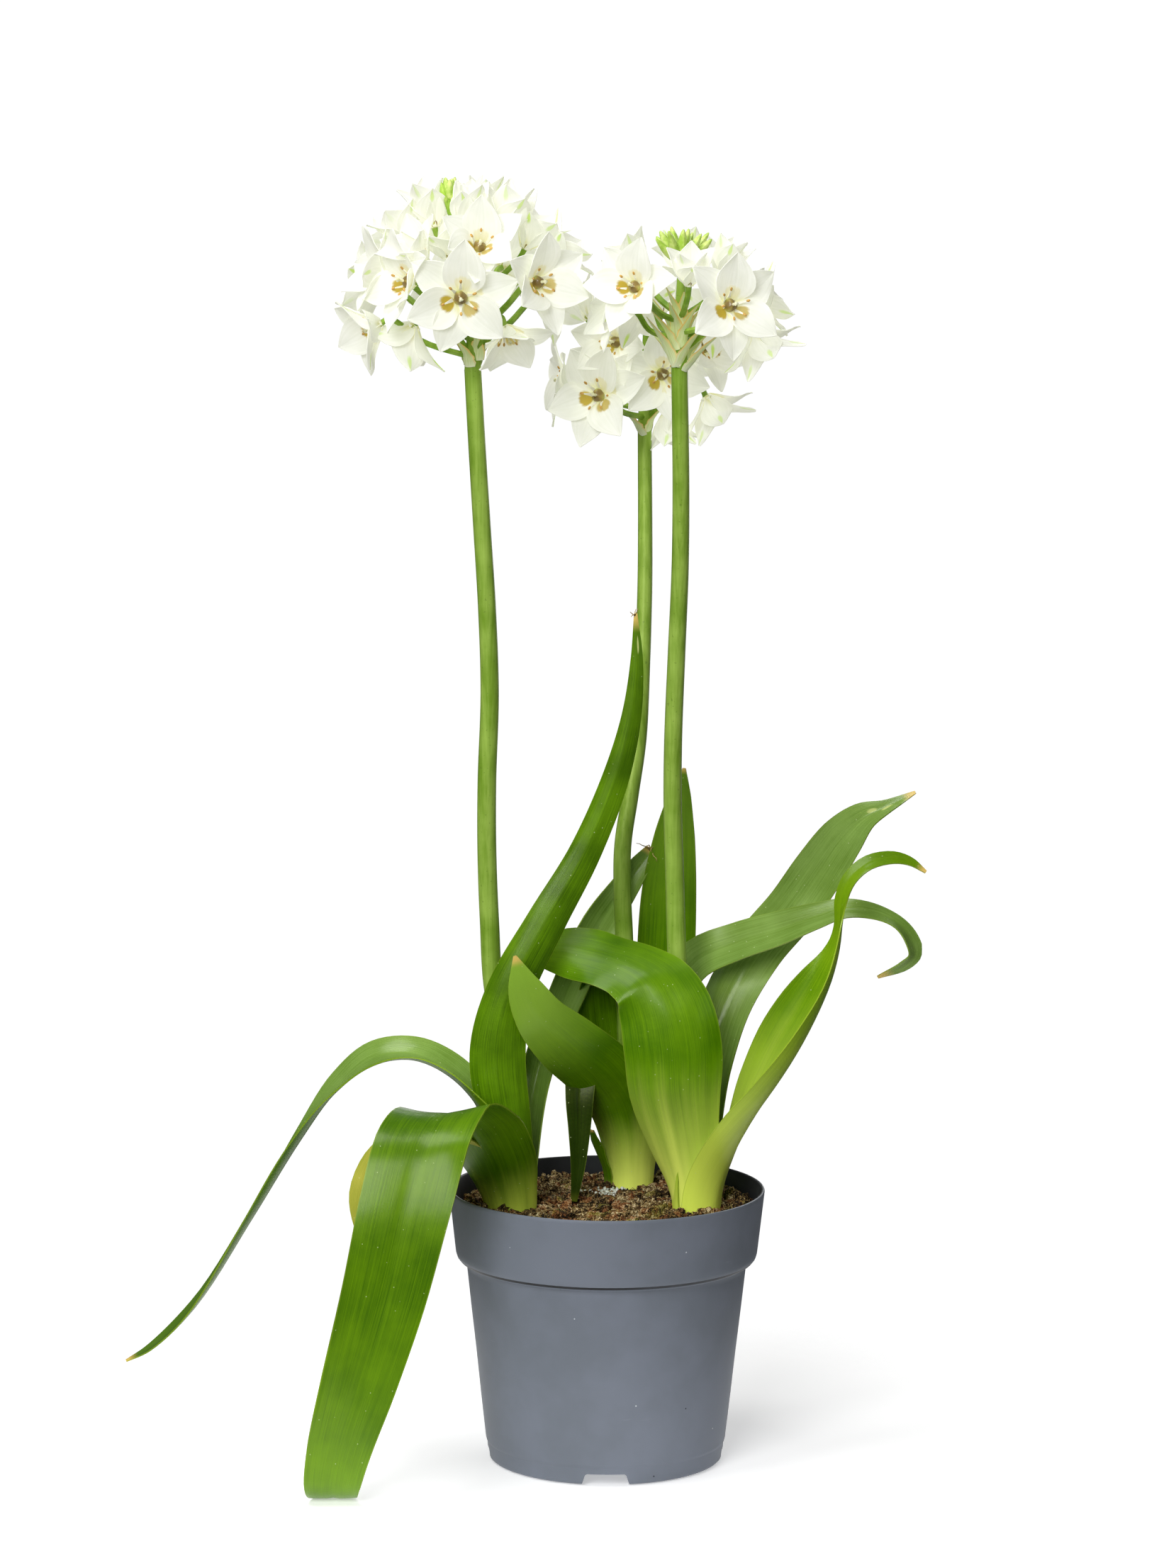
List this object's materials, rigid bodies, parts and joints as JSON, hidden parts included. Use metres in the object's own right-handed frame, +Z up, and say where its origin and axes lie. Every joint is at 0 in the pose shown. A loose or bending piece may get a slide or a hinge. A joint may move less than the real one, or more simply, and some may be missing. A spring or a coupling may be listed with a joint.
{
  "type": "potted snowflake chincherinchee",
  "caption": "Spring bulb plant in a plain nursery pot, with round heads of white star flowers on tall bare stalks above long strap leaves.",
  "frame": {"origin": "on the surface the pot stands on, under the middle of the plant's box", "axes": "+Z up along the stalks, +X to the right and -Y towards the viewer of the picture"},
  "size_m": [0.3026, 0.177, 0.4867],
  "materials": {
    "pot": "satin",
    "soil": "rough",
    "bulb": "satin",
    "stalk": "satin",
    "leaf": "waxy",
    "dark_leaf": "waxy",
    "yellow_leaf": "satin",
    "petal": "soft"
  },
  "bodies": {
    "root": {"pot": "pot", "soil": "soil", "left_bulb": "bulb", "middle_bulb": "bulb", "right_bulb": "bulb", "left_stalk": "stalk", "middle_stalk": "stalk", "right_stalk": "stalk", "left_tall_leaf": "dark_leaf", "left_torn_leaf": "dark_leaf", "left_arching_leaf": "leaf", "left_broad_leaf": "leaf", "left_yellow_leaf": "yellow_leaf", "middle_curling_leaf": "leaf", "middle_upright_leaf": "dark_leaf", "middle_inner_leaf": "dark_leaf", "middle_hanging_leaf": "dark_leaf", "middle_sheath_leaf": "leaf", "middle_front_leaf": "leaf", "right_broad_leaf": "leaf", "right_folded_leaf": "leaf", "right_sheath_leaf": "leaf", "right_twisted_leaf": "leaf", "left_head": "petal", "right_head": "petal", "middle_head": "petal"}
  },
  "joints": []
}
